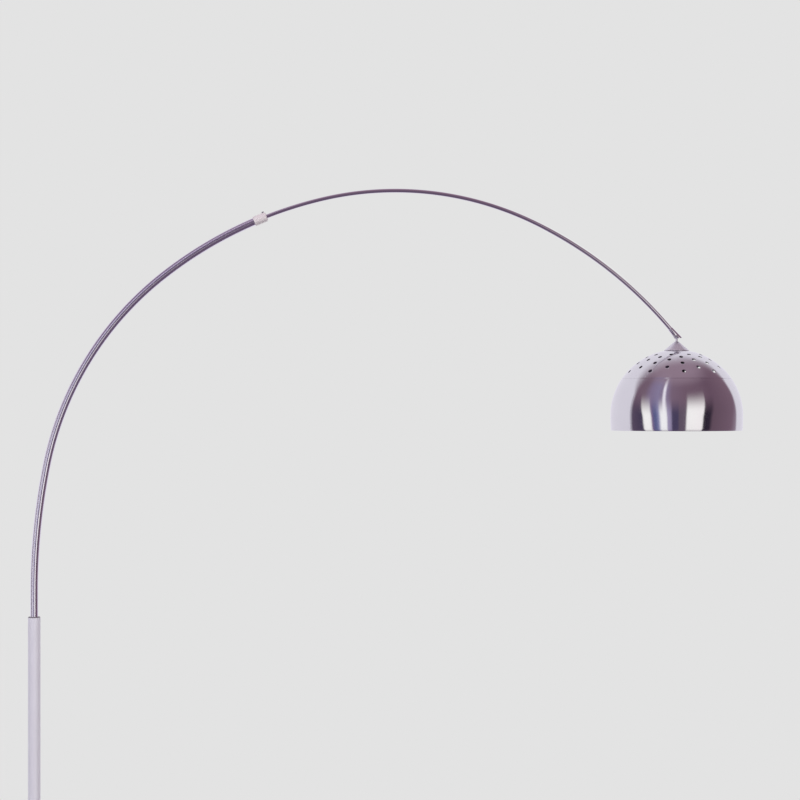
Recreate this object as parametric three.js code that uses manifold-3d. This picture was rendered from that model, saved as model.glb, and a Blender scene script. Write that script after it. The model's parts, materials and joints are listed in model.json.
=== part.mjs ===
// Arc floor lamp: a stone foot, a straight post, a two-piece telescoping bow and a hanging perforated dome shade.
// Millimetres, +Z up. The origin is the middle of the foot on the floor, and the bow reaches towards +X.

import * as THREE from 'three';
import { mergeVertices } from 'three/addons/utils/BufferGeometryUtils.js';
import Module from 'manifold-3d';

const wasm = await Module();
wasm.setup();

// ---------------------------------------------------------------- driving dimensions

const GAP = 0.3; // clearance between pieces that meet
const RUNNING = 0.4; // radial clearance of a piece that turns in another
const GUIDE = 0.6; // radial clearance of the bent inner arm in its straight guide

const base = { radius: 180, thickness: 45, chamfer: 4, recessRadius: 35, recessDepth: 16 };
const pad = { radius: 172, thickness: 3 };
const tie = { radius: 5.8, intoThePost: 27 };
const post = { radius: 15, wall: 1.5, top: 1060 };
const gland = { height: 98, neck: 4.1, flange: 6.8, bore: 2.8 };

// The bow's centre line: a straight tail, then circular arcs that all bend the same way, then a straight tip.
const BOW_START = 1122.5; // height at which the first arc begins
const BOW_ARCS = [
  { radius: 1570, turn: 11.25 },
  { radius: 777, turn: 40.3 },
  { radius: 990, turn: 25.25 }, // the inner arm slides along this arc
  { radius: 772, turn: 39.65 },
  { radius: 1007, turn: 23.0 },
];
const BOW_TIP = 24;

// Places along the bow are distances from the start of its first arc.
const outerArm = { radius: 9.5, wall: 1.2, insideThePost: 297, end: 1133 };
const innerArm = { radius: 5, wall: 1, inserted: 135, slidesIn: 130 };
const collar = { radius: 11.8, length: 33, screwAt: 11 };
const lead = { radius: 2.2, behindTheArm: 40 };

// Along the end fitting, from the end of the inner arm.
const ferrule = { start: -15, end: 15.5, topRadius: 5.9, mouthRadius: 8, cavity: 5.8, slant: 33 };
const pin = { at: 9, radius: 1.5, head: 2.6, grip: 7.8, headHeight: 1 };

// The hanging parts are measured down from the hinge pin.
const stem = { radius: 2.8, eye: 4.2, halfThickness: 2.2, length: 28.3 };
const cone = { top: 12.6, topRadius: 4.5, baseRadius: 30, wall: 1.2, lip: 0.8 };
const shade = { radius: 160, wall: 1, drop: 192.5, below: 35.8, rimRadius: 158.6, seam: 34, topHole: 5.2 };
const holes = { radius: 4.8, columns: 18, first: -88 };
const HOLE_RINGS = [[28, 37.5, 48], [23, 32.5, 43]]; // angles from the dome's top, in alternate columns
const nipple = { radius: 4.8, bore: 2.8, head: 6.2, washer: 14 };

const ROUND = 32; // facets of the large turned pieces
const SMALL = 16; // facets of the small turned pieces

// ---------------------------------------------------------------- materials

function metal(color, roughness) {
  return new THREE.MeshStandardMaterial({ color, roughness, metalness: 1 });
}

function plain(color, roughness) {
  return new THREE.MeshStandardMaterial({ color, roughness, metalness: 0 });
}

const finish = {
  marble: () => plain(0xe9e6e1, 0.25),
  felt: () => plain(0x2f2f31, 0.95),
  steel: () => metal(0xb4b4b8, 0.4),
  satin: () => metal(0xd2d0d8, 0.35),
  chrome: () => metal(0xc9c6cf, 0.08),
  pearl: () => metal(0xd8cdd2, 0.3),
  nylon: () => plain(0x4a4548, 0.5),
  spun: () => metal(0xcfc8d2, 0.18),
  brass: () => metal(0xc59a58, 0.3),
  bakelite: () => plain(0x1f1d1f, 0.4),
  porcelain: () => plain(0xefece6, 0.3),
  opal: () => plain(0xf6f4ef, 0.2),
  sheath: () => plain(0x2b2a2c, 0.5),
};

// ---------------------------------------------------------------- shapes

const radians = THREE.MathUtils.degToRad;
const degrees = THREE.MathUtils.radToDeg;

// A turned piece about +Z. The profile lists [radius, height] pairs, and runs anticlockwise in that plane.
function lathe(profile, facets = SMALL) {
  const points = profile.map(([r, z]) => new THREE.Vector2(r, z));
  return new THREE.LatheGeometry(points, facets).rotateX(Math.PI / 2);
}

// A turned piece with a hole through it: its profile closes on itself.
function turnedRing(profile, facets = SMALL) {
  return lathe([...profile, profile[0]], facets);
}

function ring(inner, outer, low, high, facets = SMALL) {
  return turnedRing([[inner, low], [outer, low], [outer, high], [inner, high]], facets);
}

function disc(radius, low, high, facets = SMALL) {
  return lathe([[0, low], [radius, low], [radius, high], [0, high]], facets);
}

// A round bar along local X, Y or Z, centred on the local origin.
function bar(radius, length, axis, facets = 12) {
  const geometry = disc(radius, -length / 2, length / 2, facets);
  if (axis === 'x') {
    geometry.rotateY(Math.PI / 2);
  }
  if (axis === 'y') {
    geometry.rotateX(Math.PI / 2);
  }
  return geometry;
}

function polygon(radius, sides, Outline) {
  const points = [];
  for (let i = 0; i < sides; i += 1) {
    const angle = (2 * Math.PI * i) / sides;
    points.push(new THREE.Vector2(radius * Math.cos(angle), radius * Math.sin(angle)));
  }
  return new Outline(points);
}

function hexNut(acrossFlats, bore, low, high) {
  const outline = polygon(acrossFlats / Math.sqrt(3), 6, THREE.Shape);
  outline.holes.push(polygon(bore, 12, THREE.Path));
  const nut = new THREE.ExtrudeGeometry(outline, { depth: high - low, bevelEnabled: false });
  return nut.translate(0, 0, low);
}

// A tube along a path, or a solid bar where the inner radius is 0.
function sweep(path, outer, inner, steps, sides) {
  const section = polygon(outer, sides, THREE.Shape);
  if (inner > 0) {
    section.holes.push(polygon(inner, sides, THREE.Path));
  }
  return new THREE.ExtrudeGeometry(section, { steps, bevelEnabled: false, extrudePath: path });
}

// A point at an angle in degrees on a circle in a profile's plane, and the points of an arc of that circle.
function arcPoint(centre, radius, angle) {
  return [centre[0] + radius * Math.cos(radians(angle)), centre[1] + radius * Math.sin(radians(angle))];
}

function arcPoints(centre, radius, from, to, steps) {
  const points = [];
  for (let i = 0; i <= steps; i += 1) {
    points.push(arcPoint(centre, radius, from + ((to - from) * i) / steps));
  }
  return points;
}

// ---------------------------------------------------------------- joining and cutting

function toSolid(geometry) {
  const bare = geometry.clone();
  bare.deleteAttribute('normal');
  bare.deleteAttribute('uv');
  const merged = mergeVertices(bare, 1e-4);
  const corners = merged.index.array;
  const triangles = [];
  for (let i = 0; i < corners.length; i += 3) {
    const [a, b, c] = [corners[i], corners[i + 1], corners[i + 2]];
    if (a !== b && b !== c && c !== a) {
      triangles.push(a, b, c);
    }
  }
  const vertProperties = new Float32Array(merged.attributes.position.array);
  const triVerts = new Uint32Array(triangles);
  return new wasm.Manifold(new wasm.Mesh({ numProp: 3, vertProperties, triVerts }));
}

function toGeometry(solid) {
  const mesh = solid.getMesh();
  const geometry = new THREE.BufferGeometry();
  const positions = new Float32Array(mesh.vertProperties);
  geometry.setAttribute('position', new THREE.BufferAttribute(positions, 3));
  geometry.setIndex(new THREE.BufferAttribute(new Uint32Array(mesh.triVerts), 1));
  geometry.computeVertexNormals();
  return geometry;
}

function cut(body, ...tools) {
  let solid = toSolid(body);
  for (const tool of tools) {
    solid = solid.subtract(toSolid(tool));
  }
  return toGeometry(solid);
}

function join(body, other) {
  return toGeometry(toSolid(body).add(toSolid(other)));
}

// ---------------------------------------------------------------- the bow's centre line

// The point and heading at a distance along the bow. Below the first arc the tail runs straight down.
function bowAt(distance) {
  const at = { x: 0, z: BOW_START, heading: Math.PI / 2 };
  if (distance <= 0) {
    at.z += distance;
    return at;
  }
  let left = distance;
  for (const arc of BOW_ARCS) {
    const turn = Math.min(left / arc.radius, radians(arc.turn));
    const next = at.heading - turn;
    at.x += arc.radius * (Math.sin(at.heading) - Math.sin(next));
    at.z += arc.radius * (Math.cos(next) - Math.cos(at.heading));
    at.heading = next;
    left -= turn * arc.radius;
  }
  at.x += left * Math.cos(at.heading);
  at.z += left * Math.sin(at.heading);
  return at;
}

class BowStretch extends THREE.Curve {
  constructor(from, to) {
    super();
    this.from = from;
    this.to = to;
  }

  getPoint(t, target = new THREE.Vector3()) {
    const at = bowAt(this.from + (this.to - this.from) * t);
    return target.set(at.x, 0, at.z);
  }
}

// ---------------------------------------------------------------- scene graph

const lamp = new THREE.Group();

function put(group, name, geometry, material) {
  const mesh = new THREE.Mesh(geometry, material);
  mesh.name = name;
  group.add(mesh);
  return mesh;
}

// A group on the bow: its local +Z runs along the bow and its local +X points to the inside of the bend.
function bowGroup(distance) {
  const at = bowAt(distance);
  const group = new THREE.Group();
  group.position.set(at.x, 0, at.z);
  group.rotation.y = Math.PI / 2 - at.heading;
  lamp.add(group);
  return group;
}

// Places that several pieces share.
const STONE_TOP = pad.thickness + base.thickness;
const POST_BORE = post.radius - post.wall;
const TAIL_END = post.top - outerArm.insideThePost; // height of the outer arm's lower end
const TAIL_RING = 3; // thickness of the ring under that end
const SEAT = TAIL_END - TAIL_RING - GAP; // the ledge that the ring stands on
const TAIL_START = TAIL_END - BOW_START; // the lower end as a place along the bow
const OUTER_BORE = outerArm.radius - outerArm.wall;
const INNER_TAIL = outerArm.end - innerArm.inserted;
const BOW_LENGTH = BOW_ARCS.reduce((sum, arc) => sum + arc.radius * radians(arc.turn), BOW_TIP);

// ---------------------------------------------------------------- foot

function buildFoot() {
  const { radius, chamfer, recessRadius } = base;
  const bore = tie.radius + 0.7;
  const recessTop = pad.thickness + base.recessDepth;
  const stone = turnedRing([
    [recessRadius, pad.thickness],
    [radius - chamfer / 2, pad.thickness],
    [radius, pad.thickness + chamfer / 2],
    [radius, STONE_TOP - chamfer],
    [radius - chamfer * 0.3, STONE_TOP - chamfer * 0.3],
    [radius - chamfer, STONE_TOP],
    [bore, STONE_TOP],
    [bore, recessTop],
    [recessRadius, recessTop],
  ], ROUND);
  put(lamp, 'base_stone', stone, finish.marble());
  put(lamp, 'base_pad', disc(pad.radius, 0, pad.thickness, ROUND), finish.felt());

  const washer = { radius: 30, thickness: 4 };
  const nut = { acrossFlats: 19, height: 8 };
  const washerTop = recessTop - GAP;
  const nutTop = washerTop - washer.thickness - GAP;
  const nutLow = nutTop - nut.height;
  const bearing = ring(tie.radius + GAP, washer.radius, washerTop - washer.thickness, washerTop, 24);
  put(lamp, 'clamp_washer', bearing, finish.steel());
  put(lamp, 'clamp_nut', hexNut(nut.acrossFlats, tie.radius + GAP, nutLow, nutTop), finish.steel());
  put(lamp, 'tie_rod', disc(tie.radius, nutLow - 1.5, STONE_TOP + tie.intoThePost), finish.steel());
}

// ---------------------------------------------------------------- post

function buildPost() {
  const foot = STONE_TOP + GAP;
  const plugHeight = tie.intoThePost + 3;
  const tube = ring(POST_BORE, post.radius, foot, post.top, 24);
  const glandHole = bar(gland.neck + GAP, 10, 'x').translate(-post.radius, 0, gland.height);
  put(lamp, 'post_tube', cut(tube, glandHole), finish.satin());
  const plug = ring(tie.radius + GAP, POST_BORE - GAP, foot, foot + plugHeight);
  put(lamp, 'post_plug', plug, finish.steel());

  const flange = { inner: post.radius + GAP, outer: 42, height: 7, edge: 1.5, round: 5 };
  const cover = turnedRing([
    [flange.inner, foot],
    [flange.outer, foot],
    ...arcPoints([flange.outer - flange.round, foot + flange.edge], flange.round, 0, 80, 3),
    [flange.inner + 1, foot + flange.height],
    [flange.inner, foot + flange.height - 1],
  ], 24);
  put(lamp, 'post_flange', cover, finish.satin());

  const face = post.radius + GAP;
  const grommet = turnedRing([
    [gland.bore, POST_BORE - 2],
    [gland.neck, POST_BORE - 2],
    [gland.neck, face],
    [gland.flange, face],
    [gland.flange, face + 1.6],
    [gland.flange - 2, face + 3.6],
    [gland.bore, face + 3.6],
  ]);
  grommet.rotateY(-Math.PI / 2);
  put(lamp, 'cord_gland', grommet, finish.nylon()).position.z = gland.height;
}

function buildPostBushes() {
  const bushRadius = POST_BORE - GAP;
  const armBore = outerArm.radius + RUNNING;
  const topBush = { depth: 32, lip: post.radius - 0.6, height: 2 };
  const upper = turnedRing([
    [armBore, post.top - topBush.depth],
    [bushRadius, post.top - topBush.depth],
    [bushRadius, post.top + GAP],
    [topBush.lip, post.top + GAP],
    [topBush.lip, post.top + topBush.height / 2],
    [topBush.lip - 1, post.top + topBush.height],
    [armBore, post.top + topBush.height],
  ], 24);
  put(lamp, 'post_bush_top', upper, finish.nylon());

  const leadBore = lead.radius + 1.8;
  const lower = turnedRing([
    [leadBore, SEAT - 14],
    [bushRadius, SEAT - 14],
    [bushRadius, SEAT + 18],
    [armBore, SEAT + 18],
    [armBore, SEAT],
    [leadBore, SEAT],
  ], 24);
  put(lamp, 'post_bush_low', lower, finish.nylon());
}

// The part of the lead that the post holds, from the gland up to the turning arm.
function buildPostLead() {
  const top = SEAT - GAP;
  const route = new THREE.CatmullRomCurve3([
    new THREE.Vector3(2 + GAP - POST_BORE, 0, gland.height),
    new THREE.Vector3(-8, 0, gland.height + 2),
    new THREE.Vector3(-3, 0, gland.height + 12),
    new THREE.Vector3(0, 0, gland.height + 40),
    new THREE.Vector3(0, 0, (gland.height + top) / 2),
    new THREE.Vector3(0, 0, top),
  ]);
  put(lamp, 'lead_post', sweep(route, lead.radius, 0, 48, 6), finish.sheath());
}

// ---------------------------------------------------------------- outer arm and collar

function buildOuterArm() {
  const path = new BowStretch(TAIL_START, outerArm.end);
  put(lamp, 'outer_arm_tube', sweep(path, outerArm.radius, OUTER_BORE, 30, 12), finish.chrome());

  const sleeve = OUTER_BORE * Math.cos(Math.PI / 12) - GAP;
  const tailRing = turnedRing([
    [lead.radius + 1, -TAIL_RING],
    [outerArm.radius, -TAIL_RING],
    [outerArm.radius, -GAP],
    [sleeve, -GAP],
    [sleeve, 12],
    [lead.radius + 1, 12],
  ]);
  put(bowGroup(TAIL_START), 'tail_ring', tailRing, finish.nylon());

  // The lead stops where the inner arm's own lead reaches when that arm is pushed right in.
  const leadEnd = INNER_TAIL - innerArm.slidesIn - lead.behindTheArm - 5;
  const leadPath = new BowStretch(TAIL_START - TAIL_RING, leadEnd);
  put(lamp, 'lead_outer', sweep(leadPath, lead.radius, 0, 24, 6), finish.sheath());
}

function buildCollar() {
  const half = collar.length / 2;
  const tubeBore = outerArm.radius + 2 * RUNNING;
  const bushBore = innerArm.radius + GUIDE;
  const mouthBore = innerArm.radius + 2 * GUIDE;
  const edge = 1.1;
  const mouthEdge = 2.6;
  const screwRadius = 2;
  const group = bowGroup(outerArm.end);

  const screwHole = bar(screwRadius + GAP, 2 * collar.radius, 'x');
  screwHole.translate(-collar.radius, 0, collar.screwAt);
  const body = turnedRing([
    [tubeBore, -half],
    [collar.radius - edge, -half],
    [collar.radius, edge - half],
    [collar.radius, half - mouthEdge],
    [collar.radius - mouthEdge, half],
    [mouthBore, half],
    [mouthBore, half - 1.5],
    [tubeBore, half - 1.5],
  ], 24);
  const bush = ring(bushBore, tubeBore - GAP, 1.5, half - 2);
  put(group, 'collar', cut(body, screwHole), finish.pearl());
  put(group, 'collar_bush', cut(bush, screwHole), finish.nylon());

  // The locking screw points outwards from the bend, its tip just clear of the inner arm.
  const tip = innerArm.radius + RUNNING;
  const under = collar.radius + GAP;
  const head = { radius: 2.9, height: 2.4 };
  const headTop = under + head.height;
  const turned = lathe([
    [0, tip],
    [screwRadius - 0.7, tip],
    [screwRadius, tip + 0.7],
    [screwRadius, under],
    [head.radius, under],
    [head.radius, headTop - 0.6],
    [head.radius - 0.8, headTop],
    [0, headTop],
  ], 12);
  const slot = new THREE.BoxGeometry(0.9, 10, 2).translate(0, 0, headTop);
  const screw = put(group, 'collar_screw', cut(turned, slot), finish.steel());
  screw.rotation.y = -Math.PI / 2;
  screw.position.z = collar.screwAt;
}

// ---------------------------------------------------------------- inner arm and its end fitting

function buildInnerArm() {
  const bore = innerArm.radius - innerArm.wall;
  const path = new BowStretch(INNER_TAIL, BOW_LENGTH);
  put(lamp, 'inner_arm_tube', sweep(path, innerArm.radius, bore, 32, 12), finish.chrome());

  const glide = ring(innerArm.radius + GAP, OUTER_BORE - 1, 1, 15);
  put(bowGroup(INNER_TAIL), 'inner_glide', glide, finish.nylon());

  const leadPath = new BowStretch(INNER_TAIL - lead.behindTheArm, BOW_LENGTH + 1);
  put(lamp, 'lead_inner', sweep(leadPath, lead.radius, 0, 24, 6), finish.sheath());
}

// A cup over the arm's end, cut off level at its mouth and slotted so that the stem can swing back in it.
function buildFerrule(group) {
  const { start, end, topRadius, mouthRadius, cavity, slant } = ferrule;
  const fit = innerArm.radius + GAP;
  const reach = end + mouthRadius;
  const turned = turnedRing([
    [fit, start],
    [topRadius - 0.3, start],
    [topRadius, start + 0.5],
    [mouthRadius, end],
    [mouthRadius, reach],
    [cavity + 0.8, reach],
    [cavity, 1],
    [fit, 1],
  ], 24);
  const beyondTheMouth = new THREE.BoxGeometry(60, 60, 30).translate(0, 0, 15);
  beyondTheMouth.rotateY(radians(slant)).translate(0, 0, end);
  const slotWidth = 2 * (stem.radius + GUIDE);
  const slot = new THREE.BoxGeometry(20, slotWidth, 40).translate(10, 0, pin.at - stem.eye + 20);
  const pinHole = bar(pin.radius + GAP, 4 * mouthRadius, 'y').translate(0, 0, pin.at);
  put(group, 'end_ferrule', cut(turned, beyondTheMouth, slot, pinHole), finish.chrome());
}

function buildPin(group) {
  const top = pin.grip + pin.headHeight;
  const rivet = lathe([
    [0, -top],
    [pin.head - 0.6, -top],
    [pin.head, -pin.grip],
    [pin.radius, -pin.grip],
    [pin.radius, pin.grip],
    [pin.head, pin.grip],
    [pin.head - 0.6, top],
    [0, top],
  ], 12);
  rivet.rotateX(Math.PI / 2);
  put(group, 'knuckle_pin', rivet, finish.steel()).position.z = pin.at;
}

// ---------------------------------------------------------------- hanging parts: stem, cone and barrel

const SPHERE = -shade.drop; // height of the dome's centre
const UNDER_DOME = SPHERE + shade.radius - shade.wall; // highest point inside the dome

function buildStem(group) {
  const nut = { acrossFlats: 10, low: 0.4 - stem.length, high: 3.8 - stem.length };
  const eye = bar(stem.eye, 2 * stem.halfThickness, 'y', 16);
  const shank = disc(stem.radius, -stem.length, -stem.eye / 2, 12);
  const pinHole = bar(pin.radius + GAP, 10, 'y');
  put(group, 'swivel_stem', cut(join(eye, shank), pinHole), finish.chrome());
  put(group, 'stem_nut', hexNut(nut.acrossFlats, stem.radius + GAP, nut.low, nut.high), finish.steel());
}

function buildCone(group) {
  const low = SPHERE + Math.sqrt(shade.radius ** 2 - cone.baseRadius ** 2) + GAP;
  const bore = stem.radius + RUNNING;
  const run = cone.baseRadius - cone.topRadius;
  const rise = -cone.top - low - cone.lip;
  const wallDown = (cone.wall * Math.hypot(run, rise)) / run;
  const innerAtBore = -cone.top - wallDown + ((cone.topRadius - bore) * rise) / run;
  const innerAtBase = cone.topRadius + ((-cone.top - wallDown - low) * run) / rise;
  const cap = turnedRing([
    [innerAtBase, low],
    [cone.baseRadius, low],
    [cone.baseRadius, low + cone.lip],
    [cone.topRadius, -cone.top],
    [bore, -cone.top],
    [bore, innerAtBore],
  ], 32);
  put(group, 'cone_cap', cap, finish.spun());
}

// The shade turns on the stem's nut: the barrel hangs on the nut, and the hollow nipple screws up into the barrel.
function buildBarrelAndNipple(group) {
  const bore = stem.radius + RUNNING;
  const end = -stem.length;
  const barrel = { outer: 7.6, inner: nipple.head + GAP, top: end + 5.7, plate: end + 4.1, low: end - 4 };
  const cage = turnedRing([
    [barrel.inner, barrel.low],
    [barrel.outer, barrel.low],
    [barrel.outer, barrel.top],
    [bore, barrel.top],
    [bore, barrel.plate],
    [barrel.inner, barrel.plate],
  ]);
  put(group, 'swivel_barrel', cage, finish.brass());

  const hollowScrew = turnedRing([
    [nipple.bore, UNDER_DOME - 19],
    [nipple.radius, UNDER_DOME - 19],
    [nipple.radius, barrel.low + GAP],
    [nipple.head, barrel.low + GAP],
    [nipple.head, end - 0.5],
    [nipple.bore, end - 0.5],
  ]);
  put(group, 'nipple', hollowScrew, finish.brass());

  const washer = { radius: nipple.washer, thickness: 1.5 };
  const nut = { acrossFlats: 14, height: 4 };
  const washerTop = SPHERE + Math.sqrt((shade.radius - shade.wall) ** 2 - washer.radius ** 2) - 2 * GAP;
  const nutTop = washerTop - washer.thickness - GAP;
  const threadBore = nipple.radius + GAP;
  const bearing = ring(threadBore, washer.radius, washerTop - washer.thickness, washerTop, 24);
  put(group, 'shade_washer', bearing, finish.steel());
  put(group, 'nipple_nut', hexNut(nut.acrossFlats, threadBore, nutTop - nut.height, nutTop), finish.brass());
}

// ---------------------------------------------------------------- shade

function buildUpperShade(group) {
  const { radius, wall, seam, topHole } = shade;
  const centre = [0, SPHERE];
  const outerTop = 90 - degrees(Math.asin(topHole / radius));
  const innerTop = 90 - degrees(Math.asin(topHole / (radius - wall)));
  const underTheCone = 90 - degrees(Math.asin(cone.baseRadius / radius));
  const overTheWasher = 90 - degrees(Math.asin(1.1 * nipple.washer / radius));
  const cap = turnedRing([
    ...arcPoints(centre, radius, seam, underTheCone, 5),
    arcPoint(centre, radius, outerTop),
    arcPoint(centre, radius - wall, innerTop),
    ...arcPoints(centre, radius - wall, overTheWasher, seam, 5),
  ], ROUND);
  const drills = [];
  for (let column = 0; column < holes.columns; column += 1) {
    const turn = holes.first + (column * 360) / holes.columns;
    for (const fromTop of HOLE_RINGS[column % 2]) {
      const drill = bar(holes.radius, 14, 'x', 6).translate(radius, 0, 0);
      drill.rotateY(-radians(90 - fromTop)).rotateZ(radians(turn)).translate(0, 0, SPHERE);
      drills.push(drill);
    }
  }
  put(group, 'shade_upper', cut(cap, ...drills), finish.spun());
}

// The bowl's neck slips inside the upper half, and its wall straightens below the dome's widest line.
function buildLowerShade(group) {
  const { radius, wall, seam, below, rimRadius } = shade;
  const centre = [0, SPHERE];
  const inset = radius - rimRadius;
  const flank = (below ** 2 + inset ** 2) / (2 * inset);
  const flankCentre = [radius - flank, SPHERE];
  const flankAngle = degrees(Math.asin(below / flank));
  const step = seam - 0.3;
  const neckTop = seam + 2.4;
  const neck = radius - wall - 0.7;
  const hem = 1.5;
  const bowl = turnedRing([
    [rimRadius - wall - hem, SPHERE - below],
    ...arcPoints(flankCentre, flank, -flankAngle, 0, 2),
    ...arcPoints(centre, radius, step / 4, step, 3),
    arcPoint(centre, neck, step),
    arcPoint(centre, neck, neckTop),
    ...arcPoints(centre, neck - 0.8, neckTop, step - 1, 1),
    ...arcPoints(centre, radius - wall, step - 2.5, 0, 4),
    ...arcPoints(flankCentre, flank - wall, -flankAngle / 2, 1.5 - flankAngle, 1),
    [rimRadius - wall - hem, SPHERE - below + 1.2],
  ], ROUND);
  put(group, 'shade_lower', bowl, finish.spun());
}

// ---------------------------------------------------------------- lampholder and bulb

function buildLampholder(group) {
  const top = UNDER_DOME - 7.1;
  const cap = { topRadius: 11, radius: 19.5, height: 18, wall: 2.5 };
  const capLow = top - cap.height;
  const dome = turnedRing([
    [cap.radius - cap.wall, capLow],
    [cap.radius, capLow],
    [cap.radius, top - 8],
    [cap.radius - 2.5, top - 3],
    [cap.topRadius, top],
    [nipple.radius + GAP, top],
    [nipple.radius + GAP, top - cap.wall],
    [cap.topRadius, top - cap.wall],
    [cap.radius - cap.wall, top - 8],
  ], 24);
  put(group, 'holder_cap', dome, finish.bakelite());

  const bodyTop = capLow - GAP;
  const body = turnedRing([
    [15.2, bodyTop - 38],
    [18, bodyTop - 38],
    [cap.radius, bodyTop - 36],
    [cap.radius, bodyTop],
    [15.2, bodyTop],
  ], 24);
  put(group, 'holder_body', body, finish.bakelite());

  const insert = { radius: 14.9, thickness: 11, bore: 2 };
  const insertLow = bodyTop - insert.thickness - 1;
  put(group, 'holder_insert', ring(insert.bore, insert.radius, insertLow, bodyTop - 1), finish.porcelain());
  put(group, 'lead_head', disc(lead.radius, bodyTop - 1 + GAP, -stem.length - 1, 8), finish.sheath());

  const contact = lathe([
    [0, insertLow - 2],
    [4.5, insertLow - 2],
    [4.5, insertLow - GAP],
    [insert.bore - GAP, insertLow - GAP],
    [insert.bore - GAP, insertLow + insert.thickness - 2],
    [0, insertLow + insert.thickness - 2],
  ]);
  put(group, 'centre_contact', contact, finish.brass());
  put(group, 'screw_shell', ring(13.9, 14.5, bodyTop - 36, insertLow - GAP, 24), finish.brass());
  return insertLow - 2 - GAP;
}

// An opal bulb with a 27 mm screw cap. Its glass is open at the neck, inside the cap.
function buildBulb(group, tip) {
  const tipHeight = 2.2;
  const capTop = tip - tipHeight - GAP;
  const capLow = capTop - 20;
  put(group, 'bulb_tip', disc(4.2, tip - tipHeight, tip), finish.brass());
  const screwCap = turnedRing([
    [12.6, capLow],
    [13.2, capLow],
    [13.2, capTop - 4],
    [8, capTop],
    [3, capTop],
    [3, capTop - 0.8],
    [7.6, capTop - 0.8],
    [12.6, capTop - 4.6],
  ], 24);
  put(group, 'bulb_cap', screwCap, finish.steel());

  const glass = { radius: 30, wall: 1, neck: 13.6, throat: 12, length: 105, shoulder: 38 };
  const centre = [0, tip - glass.length + glass.radius];
  const shoulder = arcPoint(centre, glass.radius, glass.shoulder);
  const lean = Math.tan(radians(glass.shoulder));
  const bend = new THREE.QuadraticBezierCurve(
    new THREE.Vector2(...shoulder),
    new THREE.Vector2(glass.neck, shoulder[1] + (shoulder[0] - glass.neck) / lean),
    new THREE.Vector2(glass.neck, capLow - 2),
  );
  const neckPoints = bend.getPoints(3).slice(1).map((point) => [point.x, point.y]);
  const outer = [
    ...arcPoints(centre, glass.radius, -90, glass.shoulder, 6),
    ...neckPoints,
    [glass.neck, capLow - GAP],
    [glass.throat, capLow - GAP],
    [glass.throat, capLow + 8],
  ];
  const inner = [
    [glass.throat - glass.wall, capLow + 8],
    ...neckPoints.reverse().map(([r, z]) => [r - 1.6 * glass.wall, z]),
    ...arcPoints(centre, glass.radius - glass.wall, glass.shoulder, -90, 6),
  ];
  outer[0][0] = 0;
  inner[inner.length - 1][0] = 0;
  put(group, 'bulb_glass', lathe([...outer, ...inner]), finish.opal());
}

// ---------------------------------------------------------------- the whole lamp

buildFoot();
buildPost();
buildPostBushes();
buildPostLead();
buildOuterArm();
buildCollar();
buildInnerArm();

const tipGroup = bowGroup(BOW_LENGTH);
buildFerrule(tipGroup);
buildPin(tipGroup);

const tipOfBow = bowAt(BOW_LENGTH);
const hanging = new THREE.Group();
hanging.position.x = tipOfBow.x + pin.at * Math.cos(tipOfBow.heading);
hanging.position.z = tipOfBow.z + pin.at * Math.sin(tipOfBow.heading);
lamp.add(hanging);
buildStem(hanging);
buildCone(hanging);
buildBarrelAndNipple(hanging);
buildUpperShade(hanging);
buildLowerShade(hanging);
const contactHeight = buildLampholder(hanging);
buildBulb(hanging, contactHeight);

export default lamp;
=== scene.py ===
"""The looks of the arc floor lamp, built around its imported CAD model. Profiles are in millimetres."""

import json
import math

import bpy
from mathutils import Matrix, Vector


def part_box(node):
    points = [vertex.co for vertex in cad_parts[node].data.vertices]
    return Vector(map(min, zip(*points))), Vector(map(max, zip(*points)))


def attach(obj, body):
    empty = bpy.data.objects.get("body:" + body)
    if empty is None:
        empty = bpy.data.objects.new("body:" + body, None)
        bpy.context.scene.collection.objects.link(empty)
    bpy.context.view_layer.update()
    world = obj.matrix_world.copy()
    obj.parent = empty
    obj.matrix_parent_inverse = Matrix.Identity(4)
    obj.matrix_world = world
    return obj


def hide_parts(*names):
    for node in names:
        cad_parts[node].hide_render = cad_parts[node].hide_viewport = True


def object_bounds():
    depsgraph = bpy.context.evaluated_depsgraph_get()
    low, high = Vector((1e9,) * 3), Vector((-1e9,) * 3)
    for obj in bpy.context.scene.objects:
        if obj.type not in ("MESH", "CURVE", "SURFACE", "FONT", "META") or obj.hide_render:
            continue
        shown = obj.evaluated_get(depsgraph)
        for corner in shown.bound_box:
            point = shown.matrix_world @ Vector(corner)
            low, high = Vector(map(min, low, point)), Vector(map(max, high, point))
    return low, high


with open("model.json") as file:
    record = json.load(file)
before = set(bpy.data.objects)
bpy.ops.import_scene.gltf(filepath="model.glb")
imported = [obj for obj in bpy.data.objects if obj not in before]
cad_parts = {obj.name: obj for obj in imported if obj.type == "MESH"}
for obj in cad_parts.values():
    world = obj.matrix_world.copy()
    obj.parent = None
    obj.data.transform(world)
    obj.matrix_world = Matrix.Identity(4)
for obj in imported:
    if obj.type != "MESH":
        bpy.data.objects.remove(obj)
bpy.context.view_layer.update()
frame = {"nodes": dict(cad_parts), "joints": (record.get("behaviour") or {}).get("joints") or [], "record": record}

MM = 0.001
PIN = next(Vector(joint["pos_m"]) for joint in frame["joints"] if joint["name"] == "shade_tilt")
NODE_SLOTS = {part["node"]: part["material_slot"] for part in frame["record"]["subparts"]}

# ---------------------------------------------------------------- camera

CAMERA_DISTANCE = 6.0  # metres
VIEW_WIDTH = 1.939  # metres seen across at the lamp
VIEW_MIDDLE = (0.8865, 1.5873)  # metres along X and up


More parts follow.
